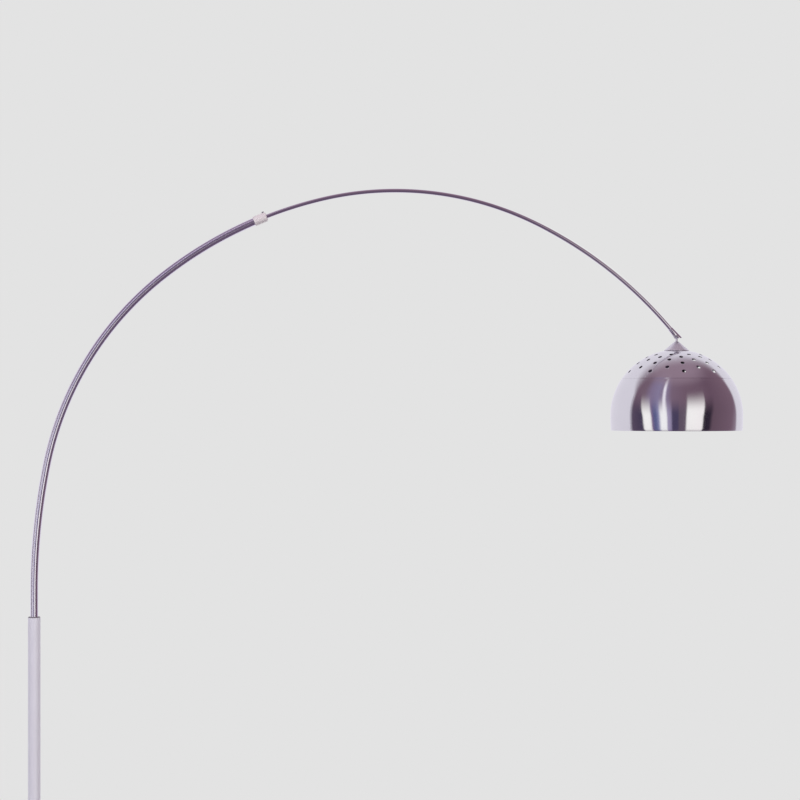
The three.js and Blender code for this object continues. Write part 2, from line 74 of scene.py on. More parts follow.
def make_camera():
    data = bpy.data.cameras.new("camera")
    data.sensor_width = 36
    data.lens = data.sensor_width * CAMERA_DISTANCE / VIEW_WIDTH
    data.clip_end = 100
    camera = bpy.data.objects.new("camera", data)
    camera.location = (VIEW_MIDDLE[0], -CAMERA_DISTANCE, VIEW_MIDDLE[1])
    camera.rotation_euler = (math.pi / 2, 0, 0)
    bpy.context.scene.collection.objects.link(camera)
    bpy.context.scene.camera = camera


make_camera()

# ---------------------------------------------------------------- node helpers


def linear(*srgb):
    """A linear colour from display values of 0 to 255, none of them near black."""
    return tuple(((c / 255 + 0.055) / 1.055) ** 2.4 for c in srgb)


def add(tree, kind, inputs=None, **settings):
    """A new node. An input goes by its name, or by its number where several share a name."""
    node = tree.nodes.new(kind)
    for name, value in settings.items():
        setattr(node, name, value)
    for key, value in (inputs or {}).items():
        if isinstance(value, bpy.types.NodeSocket):
            tree.links.new(value, node.inputs[key])
        else:
            node.inputs[key].default_value = value
    return node


def maths(tree, operation, *values):
    return add(tree, "ShaderNodeMath", dict(enumerate(values)), operation=operation).outputs[0]


def ramp(tree, value, stops, interpolation="LINEAR"):
    node = add(tree, "ShaderNodeValToRGB", {0: value})
    elements = node.color_ramp.elements
    node.color_ramp.interpolation = interpolation
    while len(elements) < len(stops):
        elements.new(1.0)
    for element, (position, color) in zip(elements, stops):
        element.position = position
        element.color = (*color, 1)
    return node.outputs[0]


def grey(level):
    return (level, level, level)


def mix(tree, factor, first, second):
    node = add(tree, "ShaderNodeMix", data_type="RGBA")
    for place, value in ((0, factor), (6, first), (7, second)):
        if isinstance(value, bpy.types.NodeSocket):
            tree.links.new(value, node.inputs[place])
        else:
            node.inputs[place].default_value = (*value, 1)
    return node.outputs[2]


def spread(tree, value, low, high):
    """Maps 0..1 to low..high."""
    return add(tree, "ShaderNodeMapRange", {0: value, 3: low, 4: high}).outputs[0]


def noise(tree, vector, scale, detail, roughness=0.5, distortion=0.0):
    inputs = {"Vector": vector, "Scale": scale, "Detail": detail}
    inputs |= {"Roughness": roughness, "Distortion": distortion}
    return add(tree, "ShaderNodeTexNoise", inputs).outputs["Fac"]


def stretched(tree, scale):
    """Object coordinates scaled along each axis."""
    coordinates = add(tree, "ShaderNodeTexCoord").outputs["Object"]
    return add(tree, "ShaderNodeMapping", {"Vector": coordinates, "Scale": scale}).outputs[0]


def bump(tree, height, distance):
    """Bumps of up to the given distance in metres."""
    return add(tree, "ShaderNodeBump", {"Height": height, "Distance": distance, "Strength": 1.0}).outputs[0]


def new_material(name, **uniform):
    material = bpy.data.materials.new(name)
    material.use_nodes = True
    tree = material.node_tree
    shader = tree.nodes["Principled BSDF"]
    for key, value in uniform.items():
        shader.inputs[key.replace("_", " ")].default_value = value
    return material, tree, shader


def connect(tree, shader, **links):
    for key, value in links.items():
        tree.links.new(value, shader.inputs[key.replace("_", " ")])


# ---------------------------------------------------------------- materials


def brushed_metal(name, color, roughness, lines, depth, anisotropy=0.0, smudge=0.06, metallic=1.0):
    """Metal with fine rings about its local Z axis, faint tone changes and finger smudges."""
    material, tree, shader = new_material(name, Metallic=metallic, Anisotropic=anisotropy)
    clouds = noise(tree, stretched(tree, (1, 1, 1)), 14, 4)
    dull = tuple(c * 0.94 for c in color)
    blotches = noise(tree, stretched(tree, (1, 1, 1)), 45, 5, 0.65, 0.4)
    rough = spread(tree, blotches, roughness - smudge / 2, roughness + smudge)
    connect(tree, shader, Base_Color=mix(tree, clouds, dull, color), Roughness=rough)
    if anisotropy:
        shader.inputs["Anisotropic Rotation"].default_value = 0.25
        tangent = add(tree, "ShaderNodeTangent", direction_type="RADIAL", axis="Z").outputs[0]
        connect(tree, shader, Tangent=tangent)
    rings = noise(tree, stretched(tree, (2, 2, lines)), 1, 6, 0.7)
    connect(tree, shader, Normal=bump(tree, rings, depth))
    return material


def shade_metal(name, color):
    """Spun metal, bright outside. Inside, a painted shade colours it darker grey, and its finish there is rougher.
    Its origin is the centre of the shade's sphere.
    """
    material = brushed_metal(name, color, 0.09, lines=2200, depth=0.000003, anisotropy=0.7)
    tree = material.node_tree
    shader = tree.nodes["Principled BSDF"]
    x, y, z = add(tree, "ShaderNodeSeparateXYZ", {0: stretched(tree, (1, 1, 1))}).outputs
    above, below = maths(tree, "MAXIMUM", z, 0.0), maths(tree, "MINIMUM", z, 0.0)
    level = maths(tree, "ADD", maths(tree, "MULTIPLY", x, x), maths(tree, "MULTIPLY", y, y))
    reach = maths(tree, "SQRT", maths(tree, "ADD", maths(tree, "MULTIPLY", above, above), level))
    reach = maths(tree, "SUBTRACT", reach, maths(tree, "MULTIPLY", below, 0.039))  # the flank draws in
    inside = maths(tree, "LESS_THAN", reach, 0.1597)  # metres, just under the outer radius
    # painted shade: the inner face gets a darker grey colour so the hollow and the holes look shaded; the higher
    # roughness there is the finish
    for key, dull in (("Base Color", linear(150, 146, 152)), ("Roughness", grey(0.5))):
        bright = shader.inputs[key].links[0].from_socket
        tree.links.new(mix(tree, inside, bright, dull), shader.inputs[key])
    return material


def polished_metal(name, color, roughness):
    """Chrome: a near mirror with hairline scratches along the piece and faint dulling."""
    material, tree, shader = new_material(name, Metallic=1.0)
    hairlines = noise(tree, stretched(tree, (90, 900, 90)), 1, 4, 0.7)
    film = noise(tree, stretched(tree, (1, 1, 1)), 22, 4, 0.6)
    shades = mix(tree, film, tuple(c * 0.95 for c in color), color)
    dulling = spread(tree, film, roughness * 0.6, roughness * 1.4)
    rough = maths(tree, "ADD", dulling, spread(tree, hairlines, 0, 0.03))
    connect(tree, shader, Base_Color=shades, Roughness=rough, Normal=bump(tree, hairlines, 0.000004))
    return material


def moulded(name, color, roughness, grain=900, depth=0.00002, coat=0.0):
    """Moulded plastic or fired clay: fine surface grain and slight colour drift."""
    material, tree, shader = new_material(name, Coat_Weight=coat, Coat_Roughness=0.12)
    drift = noise(tree, stretched(tree, (1, 1, 1)), 30, 3)
    pores = noise(tree, stretched(tree, (1, 1, 1)), grain, 5, 0.6)
    shades = mix(tree, drift, tuple(c * 0.8 for c in color), color)
    rough = spread(tree, pores, roughness - 0.06, roughness + 0.08)
    connect(tree, shader, Base_Color=shades, Roughness=rough, Normal=bump(tree, pores, depth))
    return material


def marble(name):
    """Polished white marble with grey veins of two sizes and cloudy patches."""
    material, tree, shader = new_material(name, Coat_Weight=0.4, Coat_Roughness=0.06, Subsurface_Weight=0.08)
    shader.inputs["Subsurface Radius"].default_value = (0.004, 0.004, 0.004)
    place = stretched(tree, (1, 1.7, 1.2))
    bend = noise(tree, place, 5, 5, 0.6)
    shifted = add(tree, "ShaderNodeVectorMath", {0: place, 1: bend}, operation="ADD").outputs[0]
    broad = noise(tree, shifted, 3.2, 6, 0.55, 1.2)
    fine = noise(tree, shifted, 9, 8, 0.6, 2.0)
    clouds = noise(tree, place, 6, 6, 0.6, 0.8)
    patches = ramp(tree, clouds, [(0.35, grey(0)), (0.75, grey(1))])
    stone = mix(tree, patches, linear(238, 236, 232), linear(214, 213, 212))
    veins = ramp(tree, broad, [(0.455, grey(0)), (0.5, grey(0.8)), (0.53, grey(0))], "EASE")
    threads = ramp(tree, fine, [(0.485, grey(0)), (0.5, grey(0.5)), (0.515, grey(0))])
    stone = mix(tree, veins, stone, linear(128, 129, 133))
    stone = mix(tree, threads, stone, linear(146, 145, 146))
    rough = spread(tree, clouds, 0.1, 0.2)
    connect(tree, shader, Base_Color=stone, Roughness=rough)
    return material


def felt(name):
    """Pressed felt: tangled fibres, specks and a soft sheen."""
    material, tree, shader = new_material(name, Sheen_Weight=0.5, Sheen_Roughness=0.5, Roughness=0.95)
    fibres = noise(tree, stretched(tree, (1, 1, 3)), 1500, 6, 0.75, 1.5)
    specks = noise(tree, stretched(tree, (1, 1, 1)), 260, 4, 0.6)
    flecks = ramp(tree, specks, [(0.4, grey(0)), (0.6, grey(1))])
    shades = mix(tree, flecks, linear(40, 40, 43), linear(72, 71, 74))
    connect(tree, shader, Base_Color=shades, Normal=bump(tree, fibres, 0.0006))
    return material


def opal_glass(name):
    """Opal glass: milky and glossy, with faint streaks from blowing."""
    material, tree, shader = new_material(name, Subsurface_Weight=0.35, Coat_Weight=0.5, Coat_Roughness=0.05)
    shader.inputs["Subsurface Radius"].default_value = (0.006, 0.006, 0.006)
    streaks = noise(tree, stretched(tree, (20, 20, 60)), 1, 4, 0.5, 0.6)
    connect(tree, shader, Base_Color=mix(tree, streaks, linear(244, 242, 237), linear(252, 250, 246)))
    connect(tree, shader, Roughness=spread(tree, streaks, 0.14, 0.22))
    return material


MATERIALS = {
    "marble": marble("marble"),
    "felt": felt("felt"),
    "steel": brushed_metal("steel", linear(186, 186, 190), 0.36, lines=900, depth=0.00001),
    "satin": brushed_metal("satin", linear(222, 221, 228), 0.5, lines=1400, depth=0.000006, metallic=0.25),
    "chrome": polished_metal("chrome", linear(232, 227, 234), 0.06),
    "soft chrome": polished_metal("soft_chrome", linear(234, 229, 239), 0.18),
    "cone": brushed_metal("cone", linear(220, 217, 223), 0.3, lines=900, depth=0.000003, metallic=0.8),
    "pearl": brushed_metal(
        "pearl", linear(222, 215, 215), 0.45, lines=900, depth=0.000004, smudge=0.04, metallic=0.25
    ),
    "nylon": moulded("nylon", linear(122, 116, 122), 0.5),
    "spun": shade_metal("spun", linear(226, 225, 227)),
    "brass": brushed_metal("brass", linear(205, 168, 106), 0.28, lines=900, depth=0.00001),
    "bakelite": moulded("bakelite", linear(34, 31, 33), 0.38, grain=700, coat=0.2),
    "porcelain": moulded("porcelain", linear(240, 237, 230), 0.3, grain=500, depth=0.00001, coat=0.5),
    "opal": opal_glass("opal"),
    "sheath": moulded("sheath", linear(44, 43, 45), 0.5),
}

LOOKS = {"outer_arm_tube": "soft chrome", "cone_cap": "cone"}  # nodes that differ from others of their slot


def look_of(node):
    return MATERIALS[LOOKS.get(node, NODE_SLOTS[node])]


for node, shown in frame["nodes"].items():
    shown.data.materials.clear()
    shown.data.materials.append(look_of(node))

# ---------------------------------------------------------------- profiles and meshes

ROUND = 96  # facets of a large turned piece
SMALL = 48


def radians(*angles):
    return [math.radians(a) for a in angles]


def arc(centre, radius, start, end, steps):
    """Points of a circle's arc in a profile's plane; angles in degrees."""
    points = []
    for i in range(steps + 1):
        angle = math.radians(start + (end - start) * i / steps)
        points.append((centre[0] + radius * math.cos(angle), centre[1] + radius * math.sin(angle)))
    return points


def soften(profile, closed):
    """Rounds each corner that carries a third number, its fillet."""
    steps = 4
    soft = []
    count = len(profile)
    for i, point in enumerate(profile):
        at = Vector(point[:2])
        fillet = point[2] if len(point) > 2 else 0
        if not fillet or (not closed and i in (0, count - 1)):
            soft.append(tuple(at))
            continue
        before = Vector(profile[i - 1][:2]) - at
        after = Vector(profile[(i + 1) % count][:2]) - at
        reach = min(fillet, 0.48 * before.length, 0.48 * after.length)
        start, end = at + before.normalized() * reach, at + after.normalized() * reach
        for k in range(steps + 1):
            t = k / steps
            soft.append(tuple(start * (1 - t) ** 2 + at * 2 * t * (1 - t) + end * t * t))
    return soft


def lathe(profile, facets, closed):
    """Vertices and faces of a profile turned about Z. One that isn't closed starts and ends on the axis."""
    vertices, rows, faces = [], [], []
    for radius, height in profile:
        start = len(vertices)
        around = 1 if radius < 1e-6 else facets
        for k in range(around):
            angle = 2 * math.pi * k / facets
            vertices.append((radius * math.cos(angle), radius * math.sin(angle), height))
        rows.append([start + (k if around > 1 else 0) for k in range(facets)])
    pairs = list(zip(rows, rows[1:] + rows[:1])) if closed else list(zip(rows, rows[1:]))
    for lower, upper in pairs:
        for k in range(facets):
            n = (k + 1) % facets
            face = []
            for index in (lower[k], lower[n], upper[n], upper[k]):
                if index not in face:
                    face.append(index)
            if len(face) > 2:
                faces.append(face)
    return vertices, faces


SHARP = 35  # degrees between faces that make an edge look sharp


def make_mesh(name, vertices, faces, sharp=SHARP):
    mesh = bpy.data.meshes.new(name)
    mesh.from_pydata([Vector(v) * MM for v in vertices], [], faces)
    mesh.update()
    mesh.shade_smooth()
    mesh.set_sharp_from_angle(angle=math.radians(sharp))
    return mesh


def make_object(name, mesh, place):
    made = bpy.data.objects.new(name, mesh)
    bpy.context.scene.collection.objects.link(made)
    made.matrix_world = place
    return made


def apply_modifiers(made):
    bpy.context.view_layer.update()
    evaluated = made.evaluated_get(bpy.context.evaluated_depsgraph_get())
    mesh = bpy.data.meshes.new_from_object(evaluated)
    made.modifiers.clear()
    made.data = mesh
    mesh.shade_smooth()
    mesh.set_sharp_from_angle(angle=math.radians(SHARP))


def boolean(made, tools, operation="DIFFERENCE"):
    """Cuts the tools from a piece, or joins them to it, and removes the tools."""
    for tool in tools:
        change = made.modifiers.new("boolean", "BOOLEAN")
        change.operation = operation
        change.solver = "EXACT"
        change.object = tool
    apply_modifiers(made)
    for tool in tools:
        bpy.data.objects.remove(tool)


def bevel(made, width):
    edge = made.modifiers.new("bevel", "BEVEL")
    edge.width = width * MM
    edge.segments = 2
    edge.limit_method = "ANGLE"
    edge.angle_limit = math.radians(40)
    apply_modifiers(made)


def block(size, middle, place, turn=None):
    """A box used as a cutting tool."""
    x, y, z = (s / 2 for s in size)
    corners = [Vector((i, j, k)) for i in (-x, x) for j in (-y, y) for k in (-z, z)]
    faces = [(0, 1, 3, 2), (4, 6, 7, 5), (0, 4, 5, 1), (2, 3, 7, 6), (0, 2, 6, 4), (1, 5, 7, 3)]
    turn = turn or Matrix.Identity(4)
    placed = [turn @ (corner + Vector(middle)) for corner in corners]
    return make_object("tool", make_mesh("tool", placed, faces), place)


def rod(radius, length, place):
    """A round bar used as a tool, centred on its place and lying along its Z axis."""
    profile = [(0, -length / 2), (radius, -length / 2), (radius, length / 2), (0, length / 2)]
    return make_object("tool", make_mesh("tool", *lathe(profile, SMALL, False)), place)


def finish_piece(made, body, node):
    """Puts a piece on its body, gives it its node's material and lets it stand for the node."""
    made.data.materials.clear()
    made.data.materials.append(look_of(node))
    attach(made, body)
    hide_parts(node)


def turned(node, body, profile, place=None, closed=True, facets=SMALL):
    """A turned piece that stands for the CAD node of the same name."""
    mesh = make_mesh(node, *lathe(soften(profile, closed), facets, closed))
    made = make_object(f"{node}_detail", mesh, place or Matrix.Identity(4))
    finish_piece(made, body, node)


# ---------------------------------------------------------------- the bow's centre line

BOW_START = 1122.5  # height at which the tail ends and the first arc begins
BOW_ARCS = [(1570, 11.25), (777, 40.3), (990, 25.25), (772, 39.65), (1007, 23.0)]  # radius, degrees
BOW_TIP = 24  # straight end
BOW_LENGTH = BOW_TIP + sum(radius * math.radians(turn) for radius, turn in BOW_ARCS)


def bow_at(distance):
    """The point and heading at a distance along the bow. Before its first arc the tail runs straight down."""
    x, z, heading = 0.0, BOW_START, math.pi / 2
    if distance <= 0:
        return x, z + distance, heading
    left = distance
    for radius, turn in BOW_ARCS:
        step = min(left / radius, math.radians(turn))
        x += radius * (math.sin(heading) - math.sin(heading - step))
        z += radius * (math.cos(heading - step) - math.cos(heading))
        heading -= step
        left -= step * radius
    return x + left * math.cos(heading), z + left * math.sin(heading), heading


def bow_place(distance):
    """Local +Z runs along the bow and local +X points to the inside of its bend."""
    x, z, heading = bow_at(distance)
    return Matrix.Translation(Vector((x, 0, z)) * MM) @ Matrix.Rotation(math.pi / 2 - heading, 4, "Y")


def bent_tube(node, body, start, end, outer, inner):
    """A round tube along the bow with softened ends."""
    step, lip = 9.0, 0.4
    count = max(2, round((end - start) / step))
    stations = [(start + (end - start) * i / count) for i in range(count + 1)]
    rings = [(start, outer - lip), (start + lip, outer), *((s, outer) for s in stations[1:-1])]
    rings += [(end - lip, outer), (end, outer - lip), (end, inner + lip / 2), (end - lip / 2, inner)]
    rings += [(s, inner) for s in reversed(stations[1:-1])]
    rings += [(start + lip / 2, inner), (start, inner + lip / 2)]
    vertices, faces = [], []
    for distance, radius in rings:
        x, z, heading = bow_at(distance)
        out = Vector((-math.sin(heading), 0, math.cos(heading)))
        for k in range(SMALL):
            angle = 2 * math.pi * k / SMALL
            sideways = Vector((0, radius * math.sin(angle), 0))
            vertices.append(Vector((x, 0, z)) + out * radius * math.cos(angle) + sideways)
    for i in range(len(rings)):
        lower, upper = i * SMALL, ((i + 1) % len(rings)) * SMALL
        for k in range(SMALL):
            n = (k + 1) % SMALL
            faces.append((lower + k, upper + k, upper + n, lower + n))
    made = make_object(f"{node}_detail", make_mesh(node, vertices, faces), Matrix.Identity(4))
    finish_piece(made, body, node)


# ---------------------------------------------------------------- foot

TOUCH = 0.3  # the gap that touching pieces keep
LEAD_HOLE = (-0.015, 0, 0.098)  # metres, where the lead leaves the post


def build_foot():
    low, high = (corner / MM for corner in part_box("base_stone"))
    radius, top, bottom = high.x, high.z, low.z
    turned("base_stone", "stand", [
        (35, bottom, 0.5), (radius - 2, bottom, 2), (radius, bottom + 2, 2), (radius, top - 4, 2.4),
        (radius - 4, top, 2.4), (6.5, top, 0.6), (6.5, bottom + 16), (35, bottom + 16),
    ], facets=160)
    pad_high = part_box("base_pad")[1] / MM
    edge = pad_high.x
    turned("base_pad", "stand", [
        (0, 0), (edge - 1.2, 0, 0.8), (edge, 1.1, 1), (edge - 0.3, 2.2, 0.8), (edge - 0.8, pad_high.z),
        (0, pad_high.z),
    ], closed=False, facets=160)
    foot = top + TOUCH
    turned("post_flange", "stand", [
        (15.3, foot), (42, foot, 0.5), (42, foot + 1.5, 0.6), *arc((37, foot + 1.5), 5, 15, 80, 6),
        (16.6, foot + 7, 0.8), (15.3, foot + 5.8, 0.6),
    ], facets=ROUND)
    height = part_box("cord_gland")[1].z / MM - 6.8
    along = Matrix.Translation((0, 0, height * MM)) @ Matrix.Rotation(-math.pi / 2, 4, "Y")
    turned("cord_gland", "stand", [
        (2.8, 11.5, 0.3), (4.1, 11.5, 0.3), (4.1, 15.3), (6.8, 15.3, 0.2), (6.8, 16.9, 0.8), (4.8, 18.9, 0.8),
        (2.8, 18.9, 0.6),
    ], place=along)


def build_post():
    low, high = (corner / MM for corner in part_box("post_tube"))
    profile = [(13.5, low.z), (15, low.z), (15, high.z, 0.5), (13.5, high.z, 0.4)]
    mesh = make_mesh("post_tube", *lathe(soften(profile, True), ROUND, True))
    tube = make_object("post_tube_detail", mesh, Matrix.Identity(4))
    hole = Matrix.Translation(LEAD_HOLE) @ Matrix.Rotation(math.pi / 2, 4, "Y")
    boolean(tube, [rod(4.4, 10, hole)])
    finish_piece(tube, "stand", "post_tube")
    top = high.z
    turned("post_bush_top", "stand", [
        (9.9, top - 32), (13.2, top - 32), (13.2, top + TOUCH), (14.4, top + TOUCH, 0.3),
        (14.4, top + 2, 1.2), (9.9, top + 2, 0.6),
    ])


# ---------------------------------------------------------------- arms, collar and end fitting

COLLAR_AT = 1133  # distances along the bow
INNER_START = 998
TAIL = 297  # how deep the outer arm stands in the post


def build_arms():
    post_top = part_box("post_tube")[1].z / MM
    bent_tube("outer_arm_tube", "outer_arm", post_top - TAIL - BOW_START, COLLAR_AT, 9.5, 8.3)
    bent_tube("inner_arm_tube", "inner_arm", INNER_START, BOW_LENGTH, 5, 4)


def build_collar():
    half = 16.5  # of its length
    place = bow_place(COLLAR_AT)
    profile = [
        (10.3, -half, 0.2), (10.9, -half, 0.5), (11.8, 1.6 - half, 1.2), (11.8, half - 3.2, 2.2),
        (9.2, half, 1.4), (6.2, half, 0.3), (6.2, half - 1.5), (10.3, half - 1.5),
    ]
    mesh = make_mesh("collar", *lathe(soften(profile, True), ROUND, True))
    collar = make_object("collar_detail", mesh, place)
    outwards = place @ Matrix.Translation((0, 0, 11 * MM)) @ Matrix.Rotation(-math.pi / 2, 4, "Y")
    boolean(collar, [rod(2.3, 10, outwards @ Matrix.Translation((0, 0, 11 * MM)))])
    finish_piece(collar, "outer_arm", "collar")
    head = [
        (0, 5.4), (1.3, 5.4, 0.2), (2, 6.1, 0.3), (2, 12.1), (2.9, 12.1, 0.2), (2.9, 14.2, 0.7),
        (2.2, 14.5, 0.6), (0, 14.5),
    ]
    mesh = make_mesh("collar_screw", *lathe(soften(head, False), SMALL, False))
    screw = make_object("collar_screw_detail", mesh, outwards)
    boolean(screw, [block((0.9, 10, 2), (0, 0, 14.5), outwards)])
    finish_piece(screw, "lock_screw", "collar_screw")


def build_end_fitting():
    place = bow_place(BOW_LENGTH)
    slant = Matrix.Translation((0, 0, 15.5)) @ Matrix.Rotation(math.radians(33), 4, "Y")
    profile = [
        (5.3, -15), (5.6, -15, 0.2), (5.9, -14.5, 0.5), (8, 15.5), (8, 23.5), (6.6, 23.5), (5.8, 1), (5.3, 1),
    ]
    mesh = make_mesh("end_ferrule", *lathe(soften(profile, True), ROUND, True))
    ferrule = make_object("end_ferrule_detail", mesh, place)
    sideways = place @ Matrix.Translation((0, 0, 9 * MM)) @ Matrix.Rotation(math.pi / 2, 4, "X")
    boolean(ferrule, [
        block((60, 60, 30), (0, 0, 15), place, slant),
        block((20, 6.8, 40), (10, 0, 24.8), place),
        rod(1.8, 40, sideways),
    ])
    bevel(ferrule, 0.22)
    finish_piece(ferrule, "inner_arm", "end_ferrule")
    turned("knuckle_pin", "inner_arm", [
        (0, -8.9), (1.6, -8.8, 0.6), (2.6, -7.9, 0.3), (2.6, -7.8), (1.5, -7.8), (1.5, 7.8), (2.6, 7.8),
        (2.6, 7.9, 0.3), (1.6, 8.8, 0.6), (0, 8.9),
    ], place=sideways, closed=False)


# ---------------------------------------------------------------- hanging parts

SPHERE = -192.5  # the dome's centre, below the hinge pin
SEAM = 34  # elevation in degrees at which the halves of the shade meet
DOME = 160  # outer radius
WALL = 1
HANG = Matrix.Translation(PIN)
DOME_PLACE = HANG @ Matrix.Translation((0, 0, SPHERE * MM))


def build_stem():
    across = HANG @ Matrix.Rotation(math.pi / 2, 4, "X")
    ring = [(0, -2.2), (4.2, -2.2, 0.6), (4.2, 2.2, 0.6), (0, 2.2)]
    mesh = make_mesh("swivel_stem", *lathe(soften(ring, False), SMALL, False))
    eye = make_object("swivel_stem_detail", mesh, across)
    bar = [(0, -28.3), (2.8, -28.3, 0.4), (2.8, -6, 0.8), (2.1, -4.2, 0.8), (2.1, -2.1), (0, -2.1)]
    mesh = make_mesh("tool", *lathe(soften(bar, False), SMALL, False))
    boolean(eye, [make_object("tool", mesh, HANG)], "UNION")
    boolean(eye, [rod(1.8, 10, across)])
    finish_piece(eye, "knuckle", "swivel_stem")


def build_cone():
    rim = 30
    low = SPHERE + math.sqrt(DOME**2 - rim**2) + TOUCH
    turned("cone_cap", "shade", [
        (rim - 2.6, low, 0.3), (rim, low, 0.3), (rim, low + 0.8, 0.5), (4.5, -12.6, 0.6), (3.2, -12.6, 0.3),
        (3.2, -14.6),
    ], place=HANG, facets=128)


def grid_levels(stops, step):
    """Values from the first stop to the last that pass through every stop."""
    levels = [stops[0]]
    for low, high in zip(stops, stops[1:]):
        count = max(1, round((high - low) / step))
        levels += [low + (high - low) * i / count for i in range(1, count + 1)]
    return levels


def ray(polar, azimuth):
    p, a = radians(polar, azimuth)
    return Vector((math.sin(p) * math.cos(a), math.sin(p) * math.sin(a), math.cos(p)))


HOLE = 4.8  # radius
COLUMNS = 18
FIRST_COLUMN = -88  # azimuth of its middle
HOLE_RINGS = [(28, 37.5, 48), (23, 32.5, 43)]  # angles from the dome's top, in alternate columns
HOLED = (18, 54.5)  # the holed band of the dome
CELLS = [(18, 32.75, 42.75, 54.5), (18, 27.75, 37.75, 54.5)]  # each hole's cell lies between two of these
CROWN_HOLE = 5.2  # radius


def hole_cell(vertices, faces, middle, levels, azimuths):
    """A patch of the dome round one hole: its outline lies on the given levels and azimuths."""
    top, bottom = levels[0], levels[-1]
    left, right = azimuths[0], azimuths[-1]
    outline = [ray(top, a) for a in azimuths[:-1]] + [ray(p, right) for p in levels[:-1]]
    outline += [ray(bottom, a) for a in reversed(azimuths[1:])] + [ray(p, left) for p in reversed(levels[1:])]
    axis = ray(*middle)
    across = Vector((0, 0, 1)).cross(axis).normalized()
    up = axis.cross(across)
    spin = math.asin(HOLE / DOME)
    rows = []
    for share in (0, 0.12, 0.3, 0.55, 1):
        row = []
        for corner in outline:
            angle = math.atan2(corner.dot(up), corner.dot(across))
            edge = axis * math.cos(spin) + (across * math.cos(angle) + up * math.sin(angle)) * math.sin(spin)
            row.append(len(vertices))
            vertices.append(edge.lerp(corner, share).normalized() * DOME)
        rows.append(row)
    count = len(outline)
    for inner, outer in zip(rows, rows[1:]):
        for k in range(count):
            n = (k + 1) % count
            faces.append((inner[k], inner[n], outer[n], outer[k]))


def build_dome():
    """The perforated upper half, with its round holes in a mesh that follows the sphere."""
    vertices, faces = [], []
    levels = grid_levels([HOLED[0], 23, 27.75, 32.75, 37.75, 42.75, 48, HOLED[1]], 1.2)
    half = 180 / COLUMNS
    for column in range(COLUMNS):
        middle = FIRST_COLUMN + column * 2 * half
        azimuths = [middle - half + half * i / 4 for i in range(9)]
        cells = CELLS[column % 2]
        for polar, low, high in zip(HOLE_RINGS[column % 2], cells, cells[1:]):
            span = [p for p in levels if low - 1e-6 <= p <= high + 1e-6]
            hole_cell(vertices, faces, (polar, middle), span, azimuths)
    start = FIRST_COLUMN - half
    around = [start + 360 * i / (COLUMNS * 8) for i in range(COLUMNS * 8)]
    top_edge = math.degrees(math.asin(CROWN_HOLE / DOME))
    for bands in (grid_levels([top_edge, HOLED[0]], 1.6), [HOLED[1], 55.3, 90 - SEAM]):
        rows = []
        for polar in bands:
            rows.append([len(vertices) + i for i in range(len(around))])
            vertices.extend(ray(polar, a) * DOME for a in around)
        for upper, lower in zip(rows, rows[1:]):
            for k in range(len(around)):
                n = (k + 1) % len(around)
                faces.append((upper[k], lower[k], lower[n], upper[n]))
    dome = make_object("shade_upper_detail", make_mesh("shade_upper", vertices, faces), DOME_PLACE)
    weld = dome.modifiers.new("weld", "WELD")
    weld.merge_threshold = 0.00001
    apply_modifiers(dome)
    face = dome.data.polygons[0]
    outwards = face.normal.dot(face.center) > 0
    thick = dome.modifiers.new("thickness", "SOLIDIFY")
    thick.thickness = WALL * MM
    thick.offset = -1 if outwards else 1
    thick.use_even_offset = True
    bevel(dome, 0.18)
    finish_piece(dome, "shade", "shade_upper")


def build_bowl():
    """The lower half: a neck inside the upper half, a straightening flank and a hemmed rim."""
    below, rim = 35.8, 158.6
    hem = rim - WALL - 1.5  # inner radius of the rim
    inset = DOME - rim
    flank = (below**2 + inset**2) / (2 * inset)
    centre, flank_centre = (0, 0), (DOME - flank, 0)
    flank_angle = math.degrees(math.asin(below / flank))
    step = SEAM - 0.07
    neck = DOME - WALL - 0.7
    rim_edge, *outer = arc(flank_centre, flank, -flank_angle, -0.5, 6)
    profile = [
        (hem, -below, 0.4), (*rim_edge, 0.5), *outer, *arc(centre, DOME, 0, step, 30),
        *arc(centre, neck, step, step + 2.7, 2), *arc(centre, neck - 0.8, step + 2.7, step - 0.7, 2),
        *arc(centre, DOME - WALL, step - 2.5, 0, 26),
        *arc(flank_centre, flank - WALL, -0.5, 1.5 - flank_angle, 5), (hem, 1.2 - below, 0.4),
    ]
    turned("shade_lower", "shade", profile, place=DOME_PLACE, facets=192)


def hex_nut(node, body, across, bore, low, high, place):
    """A hexagonal nut whose corners are chamfered by a cone."""
    corner, flat = across / math.sqrt(3), across / 2 - 0.1
    outline = [(corner * math.cos(math.pi / 3 * i), corner * math.sin(math.pi / 3 * i)) for i in range(6)]
    vertices = [(x, y, z) for z in (low, high) for x, y in outline]
    faces = [tuple(reversed(range(6))), tuple(range(6, 12))]
    faces += [(i, (i + 1) % 6, (i + 1) % 6 + 6, i + 6) for i in range(6)]
    nut = make_object(f"{node}_detail", make_mesh(node, vertices, faces), place)
    barrel = [(0, low), (flat, low), (corner, low + 0.9), (corner, high - 0.9), (flat, high), (0, high)]
    tool = make_object("tool", make_mesh("tool", *lathe(barrel, SMALL, False)), place)
    boolean(nut, [tool], "INTERSECT")
    middle = place @ Matrix.Translation((0, 0, (low + high) / 2 * MM))
    boolean(nut, [rod(bore, 3 * (high - low), middle)])
    finish_piece(nut, body, node)


def threaded(node, body, profile, place, facets, thread):
    """A turned piece whose outer wall between two heights carries a rolled screw thread."""
    low, high, radius, depth, pitch = thread
    vertices, faces = lathe(profile, facets, True)
    shaped = []
    for x, y, z in vertices:
        reach = math.hypot(x, y)
        if low < z < high and abs(reach - radius) < 1e-3:
            turn = math.atan2(y, x) / (2 * math.pi)
            ease = min(1, (z - low) / pitch, (high - z) / pitch)
            grown = radius - depth * ease * (0.5 - 0.5 * math.cos(2 * math.pi * (z / pitch - turn)))
            x, y = x * grown / reach, y * grown / reach
        shaped.append((x, y, z))
    made = make_object(f"{node}_detail", make_mesh(node, shaped, faces, sharp=50), place)
    finish_piece(made, body, node)


